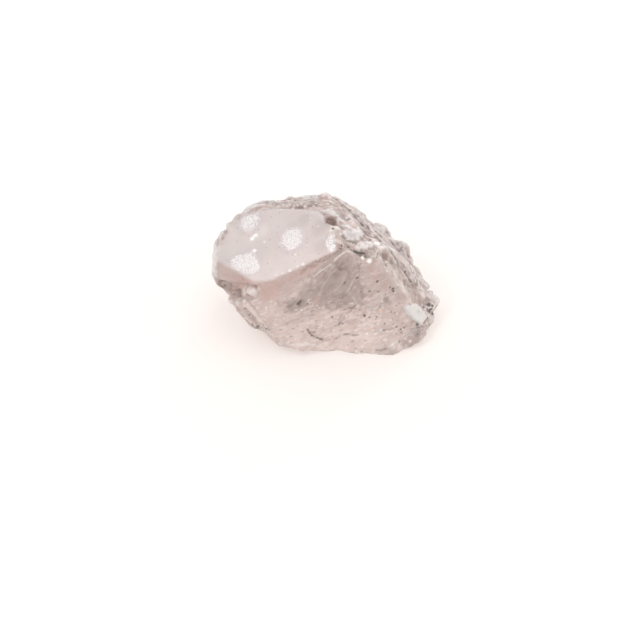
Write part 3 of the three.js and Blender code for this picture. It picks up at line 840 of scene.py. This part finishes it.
class Recipe:
    """A material that is written as calls."""

    def __init__(self, name):
        self.material = bpy.data.materials.new(name)
        self.material.use_nodes = True
        self.nodes = self.material.node_tree.nodes
        self.links = self.material.node_tree.links
        self.shader = self.nodes["Principled BSDF"]

    def plug(self, node, inputs):
        """Links or sets some inputs of a node."""
        for key, value in inputs.items():
            if isinstance(value, Wire):
                self.links.new(value.socket, node.inputs[key])
            else:
                node.inputs[key].default_value = value

    def node(self, kind, settings, inputs, output=0):
        """Adds a node and gives one of its outputs."""
        made = self.nodes.new(kind)
        for key, value in settings.items():
            setattr(made, key, value)
        self.plug(made, inputs)
        return Wire(self, made.outputs[output])

    def mark(self, name):
        """One of the marks on the skin."""
        return self.node("ShaderNodeAttribute", {"attribute_name": name}, {}, "Fac")

    def blend(self, share, first, second):
        """One colour, or another where the share is 1."""
        inputs = {"Factor": share, MIX_FIRST: first, MIX_SECOND: second}
        return self.node("ShaderNodeMix", {"data_type": "RGBA"}, inputs, MIXED)

    def place(self, scale=(1, 1, 1), turn=(0, 0, 0)):
        """The place in the stone in millimetres, turned and then scaled."""
        where = self.node("ShaderNodeTexCoord", {}, {}, "Object")
        turned = self.node("ShaderNodeMapping", {}, {"Vector": where, "Rotation": turn})
        sized = tuple(side / MM for side in scale)
        return self.node("ShaderNodeMapping", {}, {"Vector": turned, "Scale": sized})

    def noise(self, size, detail=2.0, distortion=0.0, scale=(1, 1, 1), turn=(0, 0, 0)):
        """Cloudy noise from 0 to 1, with this grain size in millimetres."""
        where = self.place(scale, turn)
        inputs = {"Vector": where, "Scale": 1 / size, "Detail": detail, "Distortion": distortion}
        return self.node("ShaderNodeTexNoise", {}, inputs)

    def number(self, cells):
        """The random number from 0 to 1 that each cell of a Voronoi pattern has."""
        return self.node("ShaderNodeSeparateColor", {}, {"Color": cells.other("Color")})

    def dots(self, spacing, radius, share):
        """Small round dots with this spacing and radius in millimetres, in a share of the cells."""
        cells = self.node("ShaderNodeTexVoronoi", {}, {"Vector": self.place(), "Scale": 1 / spacing})
        inside = 1 - cells.over(radius / spacing, 0.3 * radius / spacing)
        return self.number(cells).over(1 - share, 0.01) * inside

    def splinters(self, size, scale, turn):
        """A random number from 0 to 1 for each small facet of a break, about this size in millimetres."""
        ripple = self.node("ShaderNodeTexNoise", {}, {"Vector": self.place(), "Scale": 2 / size}, "Color")
        bend = {"Vector": ripple, "Scale": 0.8 * size}
        shift = self.node("ShaderNodeVectorMath", {"operation": "SCALE"}, bend)
        both = {0: self.place(scale, turn), 1: shift}
        bent = self.node("ShaderNodeVectorMath", {"operation": "ADD"}, both)
        return self.number(self.node("ShaderNodeTexVoronoi", {}, {"Vector": bent, "Scale": 1 / size}))


def shade(red, green, blue):
    """A colour as a screen shows it, 0 to 255, as the linear colour that a shader takes."""
    channels = [channel / 255 for channel in (red, green, blue)]
    return (*[((c + 0.055) / 1.055) ** 2.4 if c > 0.04 else c / 12.92 for c in channels], 1)


# %% [markdown]
# ## Patterns in the stone
#
# The flaws of a crystal run through it, so its patterns are noise on Object coordinates, which doesn't
# stretch or break at an edge as a flat texture does. A Mapping node turns a pattern into its run, and a
# second one draws it out there. Veins run up through the front, feathery streaks lie along its foot, and
# fine streaks follow the break.

# %% Patterns
WISP_TURN = (0, math.radians(50), math.radians(-12))
FOOT_TURN = (0, math.radians(12), math.radians(-12))
BREAK_TURN = (0, math.radians(-19), math.radians(49))

crystal = Recipe("cloudy_morganite")
mark, cloud, blend = crystal.mark, crystal.noise, crystal.blend
front, broken_part, end, bevel = mark("front"), mark("broken"), mark("end"), mark("bevel")

drift = cloud(3.0, 3, 0.6).over(0.5, 0.2)
blotches = cloud(0.9, 4, 0.7)
mottle = cloud(0.35, 3, 0.8).over(0.5, 0.25)
fine = cloud(0.2, 2, 0.4)
veins = cloud(0.8, 4, 1.2, (0.28, 1, 1), WISP_TURN)
wisps = veins.over(0.53, 0.09)
hatch = cloud(0.4, 3, 0.8, (0.25, 1, 1), WISP_TURN)
feathers = cloud(0.4, 4, 1.0, (0.3, 1, 1), FOOT_TURN).over(0.56, 0.09)
streaks = cloud(0.3, 3, 0.6, (0.16, 1, 1), BREAK_TURN).over(0.5, 0.15)
print("patterns:", len(crystal.nodes), "nodes")

# %% [markdown]
# ## Body colour
#
# The body drifts between two shades of a greyish pink. It is built as a painter would build it, with thin
# layers over a base, each with its own share. The edges of the clouds are torn by noise, because a stain
# in a crystal never ends in a smooth line.


# %% Body colour
def torn(name, pattern):
    """A cloud's mark, with its soft edge torn by a pattern."""
    return (mark(name) + 1.1 * (pattern - 0.5)).over(0.5, 0.5)


def painted(base, *layers):
    """Layers of colour over a base, each (share, colour)."""
    for share, tint in layers:
        base = blend(share, base, tint)
    return base


grey = torn("grey", veins)
grey_tone = blend(blotches.over(0.5, 0.12), shade(160, 144, 140), shade(130, 114, 110))
blush = blend(mottle, shade(218, 187, 178), shade(205, 172, 163))
stain_and_shade = blend(mottle, shade(184, 156, 147), shade(124, 100, 92))

colour = painted(
    blend(drift, shade(220, 205, 201), shade(212, 197, 193)),
    (mottle * 0.3, shade(204, 182, 176)),
    (blotches.over(0.58, 0.08) * 0.3, shade(200, 176, 169)),
    (streaks * broken_part * 0.5, shade(200, 178, 172)),
    # Paler clouds, partly painted light on the lower front and its foot.
    (mark("pale") * 0.7, shade(241, 226, 221)),
    (grey * 0.8, grey_tone),
    (torn("deep", blotches) * 0.5, shade(126, 106, 100)),
    (wisps * front * grey * 0.5, shade(206, 192, 187)),
    (mark("veil") * 0.35, shade(236, 222, 217)),
    (feathers * front * (1 - grey) * 0.5, shade(255, 246, 242)),
    (hatch.over(0.62, 0.06) * front * 0.2, shade(178, 156, 150)),
    ((1 - hatch.over(0.36, 0.06)) * front * 0.2, shade(252, 240, 236)),
    (torn("pink", blotches) * 0.7, blush),
    (torn("brown", blotches) * (0.95 - 0.45 * bevel), stain_and_shade),
    (mark("prism") * 0.75, shade(236, 224, 219)),
)

# %% [markdown]
# ## Grains, end face and growths
#
# The front bevel is sprinkled with brown grains, and dark grains and pale blebs lie in the stone. There
# are too many to place by hand, so they come from noise and from dots in the cells of a Voronoi pattern,
# and marks keep them to their beds. The end face is paler and more even, with glittering frost and a few
# specks. Thin rims and clear growths are nearly colourless, and the chip is chalky.

# %% Grains
colour = painted(
    colour,
    (bevel * 0.2, shade(190, 155, 145)),
    (fine.over(0.56, 0.05) * bevel * (0.2 + 0.8 * mark("brown")) * 0.6, shade(146, 110, 98)),
    (crystal.dots(0.38, 0.07, 0.6) * mark("specked") * 0.8, shade(96, 78, 71)),
    (crystal.dots(0.3, 0.1, 0.6) * mark("grains") * 0.9, shade(84, 68, 62)),
    (crystal.dots(0.5, 0.07, 0.35) * (1 - end) * 0.6, shade(255, 252, 250)),
)

# %% End face and growths
WHITE = shade(255, 255, 255)

surface = painted(
    blend(drift, shade(241, 234, 232), shade(235, 229, 229)),
    (mark("grey") * 0.55, shade(214, 203, 201)),
    (mark("pale") * 0.5, shade(252, 246, 243)),
)
# Painted highlights: the lamps' glare on the frost patches, as white glitter.
frosted_glare = mark("frost_and_glare")
glitter_highlight = (cloud(0.1, 2) + 0.25 * frosted_glare).over(0.7, 0.07) * frosted_glare
colour = painted(
    colour,
    (end * 0.95, surface),
    (glitter_highlight, WHITE),
    (frosted_glare * (1 - glitter_highlight) * 0.6, shade(206, 190, 199)),
    (end * crystal.dots(0.5, 0.07, 0.8) * 0.5, shade(150, 132, 127)),
    (mark("clear") * 0.9, blend(mottle, WHITE, shade(238, 234, 233))),
    (mark("chip"), blend(mottle, shade(244, 248, 247), shade(232, 240, 239))),
)

# %% [markdown]
# ## Splinters, glints and cracks
#
# A break is splintered into small facets, and each throws back its own share of light. Facets this small
# would need a far finer skin, so the cells of a drawn out Voronoi pattern stand in for them: some get
# painted shade and some a painted highlight. The break also gets painted shade in its hollows and
# painted highlights on its rims. The painted glints and the sharp marks come last, so that no cloud
# covers them.

# %% Splinters, glints and cracks
splinters = crystal.splinters(0.4, (0.45, 1, 1), BREAK_TURN)
colour = painted(
    colour,
    # Painted shade and highlights on the splinters, painted shade in hollows, painted highlights on rims.
    ((1 - splinters.over(0.3, 0.04)) * broken_part * 0.3, shade(146, 124, 117)),
    (splinters.over(0.72, 0.04) * broken_part * 0.3, shade(252, 246, 243)),
    (mark("hollow") * broken_part * (0.65 - 0.45 * mark("clear")), shade(122, 100, 93)),
    (mark("rim") * broken_part * (0.8 - 0.5 * mark("brown")), shade(255, 252, 250)),
    # Painted highlights: the glints in white.
    (mark("white"), WHITE),
    # The orange glints, painted highlights.
    (mark("orange_glint") * 0.75, shade(255, 206, 166)),
    (mark("dark") * 0.95, shade(52, 40, 36)),
)
print("all layers of colour:", len(crystal.nodes), "nodes")

# %% [markdown]
# ## Shine and depth
#
# Glints and frost flash like small mirrors, because flat flaws throw the light straight back. A little
# Metallic does that and stays dark where no light falls, as emission wouldn't. What is too fine for the
# skin is a bump of a few hundredths of a millimetre.

# %% Shine and depth
sparkle = 0.7 * glitter_highlight + mark("white") * mark("white")
roughness = 0.3 + 0.2 * frosted_glare + 0.1 * drift
bumps = cloud(0.22, 3) * (1 - 0.65 * end + 0.8 * broken_part) + 1.5 * glitter_highlight
bump = crystal.node("ShaderNodeBump", {}, {"Height": bumps, "Strength": 0.4, "Distance": 0.02 * MM})
crystal.plug(crystal.shader, {
    "Base Color": colour,
    "Roughness": roughness,
    "Metallic": 0.8 * sparkle,
    "Normal": bump,
    "IOR": 1.58,
    "Transmission Weight": 0.55,
    "Subsurface Weight": 0.7,
    "Subsurface Radius": (1, 0.8, 0.75),
    "Subsurface Scale": 0.4 * MM,
    "Coat Weight": 0.6,
    "Coat Roughness": 0.08,
})
haze = crystal.node("ShaderNodeVolumeAbsorption", {}, {"Color": (0.9, 0.8, 0.77, 1), "Density": 15})
crystal.plug(crystal.nodes["Material Output"], {"Volume": haze})
stone.data.materials.append(crystal.material)
only(stone)
bpy.ops.object.shade_smooth()
print("crystal:", len(crystal.nodes), "nodes")

# %% [markdown]
# ## Floor
#
# The stone lies on plain pale paper over a light table. The warm light from below fills its shadow and
# comes up through the crystal, as it does where clear gems are shown. A lamp under a thin sheet would
# need many samples, so the paper itself glows a little, and more warmly towards the viewer.

# %% Floor
FLOOR = 0.6  # m along each side
TINT_FADE = 60  # mm to the front and to the back of the stone, over which the glow's tint changes

bpy.ops.mesh.primitive_plane_add(size=FLOOR)
floor = bpy.context.object
floor.name = "floor"

paper = Recipe("paper")
depth = paper.node("ShaderNodeSeparateXYZ", {}, {"Vector": paper.place()}, "Y")
nearness = 1 - depth.over(0, TINT_FADE)
paper.plug(paper.shader, {
    "Base Color": shade(196, 195, 194),
    "Roughness": 0.9,
    "Specular IOR Level": 0.1,
    "Emission Color": paper.blend(nearness, (1, 0.9, 0.87, 1), (1, 0.84, 0.76, 1)),
    "Emission Strength": 0.44,
})
floor.data.materials.append(paper.material)
print("floor:", FLOOR, "m wide")

# %% [markdown]
# ## Light
#
# A white sky lights the stone from all round, as a light tent does, and keeps its shadows soft. A soft
# box at the front left shapes the faces, and a weaker one at the back right picks out the rims.

# %% Light
world = bpy.data.worlds.new("studio")
world.use_nodes = True
sky = world.node_tree.nodes["Background"].inputs
sky["Color"].default_value = (1, 0.99, 0.98, 1)
sky["Strength"].default_value = 1.11
bpy.context.scene.world = world
bpy.context.scene.view_settings.view_transform = "Standard"


def lamp(name, place, size, watts):
    """A square soft box that looks at the stone."""
    place = Vector(place)
    bpy.ops.object.light_add(type="AREA", location=place)
    light = bpy.context.object
    light.name = name
    light.rotation_euler = place.to_track_quat("Z", "Y").to_euler()
    light.data.size = size
    light.data.energy = watts
    print(f"{name}: {place.length:.2f} m away, {watts} W")


lamp("key", (-0.2, -0.16, 0.32), 0.07, 0.22)
lamp("rim", (0.14, 0.3, 0.22), 0.05, 0.12)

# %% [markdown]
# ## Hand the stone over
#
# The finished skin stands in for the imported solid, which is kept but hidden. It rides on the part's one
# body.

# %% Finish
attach(stone, "root")
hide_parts("morganite_crystal")
